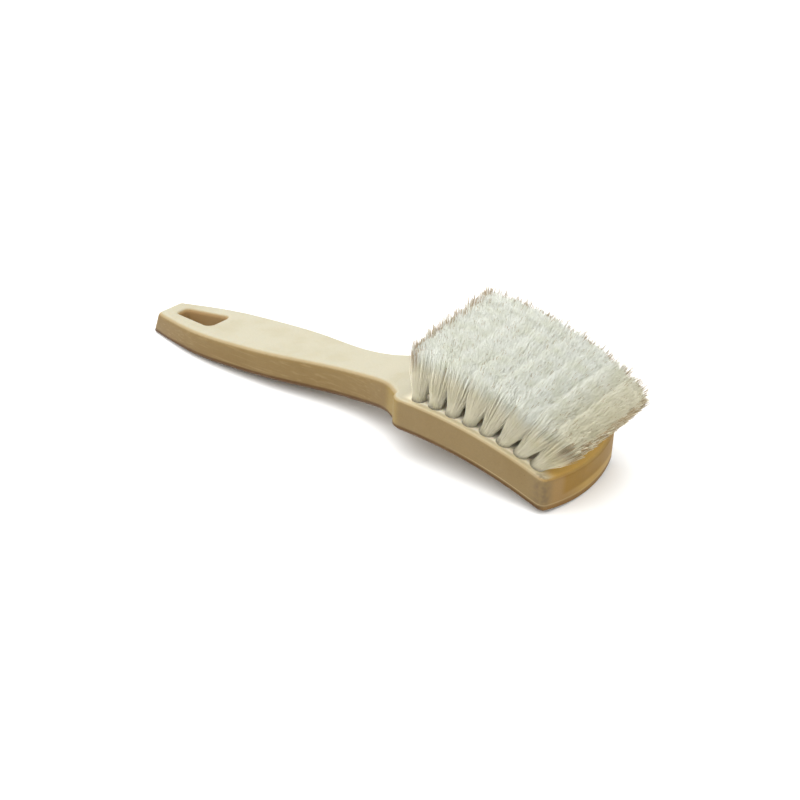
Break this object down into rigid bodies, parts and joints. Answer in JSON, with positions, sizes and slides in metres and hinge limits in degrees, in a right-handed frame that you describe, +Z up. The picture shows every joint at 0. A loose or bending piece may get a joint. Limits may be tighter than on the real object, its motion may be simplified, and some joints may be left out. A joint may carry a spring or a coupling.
{
  "type": "hand scrub brush",
  "caption": "Short one-piece plastic hand brush with a paddle handle, a hanging hole and a curved block filled with fan-shaped tufts of stiff white nylon.",
  "frame": {"origin": "middle of the bottom of the bounding box, on the table that the brush lies on", "axes": "+X from the handle towards the nose of the block, +Y across the block, +Z up, the way the bristles point"},
  "size_m": [0.2384, 0.0611, 0.0561],
  "materials": {
    "moulding": "satin",
    "bristle": "satin",
    "anchor": "satin"
  },
  "bodies": {
    "root": {"handle_block": "moulding", "tuft_anchors": "anchor", "tuft_c1_r1": "bristle", "tuft_c1_r2": "bristle", "tuft_c1_r3": "bristle", "tuft_c1_r4": "bristle", "tuft_c1_r5": "bristle", "tuft_c1_r6": "bristle", "tuft_c2_r1": "bristle", "tuft_c2_r2": "bristle", "tuft_c2_r3": "bristle", "tuft_c2_r4": "bristle", "tuft_c2_r5": "bristle", "tuft_c2_r6": "bristle", "tuft_c3_r1": "bristle", "tuft_c3_r2": "bristle", "tuft_c3_r3": "bristle", "tuft_c3_r4": "bristle", "tuft_c3_r5": "bristle", "tuft_c3_r6": "bristle", "tuft_c4_r1": "bristle", "tuft_c4_r2": "bristle", "tuft_c4_r3": "bristle", "tuft_c4_r4": "bristle", "tuft_c4_r5": "bristle", "tuft_c4_r6": "bristle", "tuft_c5_r1": "bristle", "tuft_c5_r2": "bristle", "tuft_c5_r3": "bristle", "tuft_c5_r4": "bristle", "tuft_c5_r5": "bristle", "tuft_c5_r6": "bristle", "tuft_c6_r1": "bristle", "tuft_c6_r2": "bristle", "tuft_c6_r3": "bristle", "tuft_c6_r4": "bristle", "tuft_c6_r5": "bristle", "tuft_c6_r6": "bristle", "tuft_c7_r1": "bristle", "tuft_c7_r2": "bristle", "tuft_c7_r3": "bristle", "tuft_c7_r4": "bristle", "tuft_c7_r5": "bristle", "tuft_c7_r6": "bristle", "tuft_c8_r1": "bristle", "tuft_c8_r2": "bristle", "tuft_c8_r3": "bristle", "tuft_c8_r4": "bristle", "tuft_c8_r5": "bristle", "tuft_c8_r6": "bristle"}
  },
  "joints": []
}
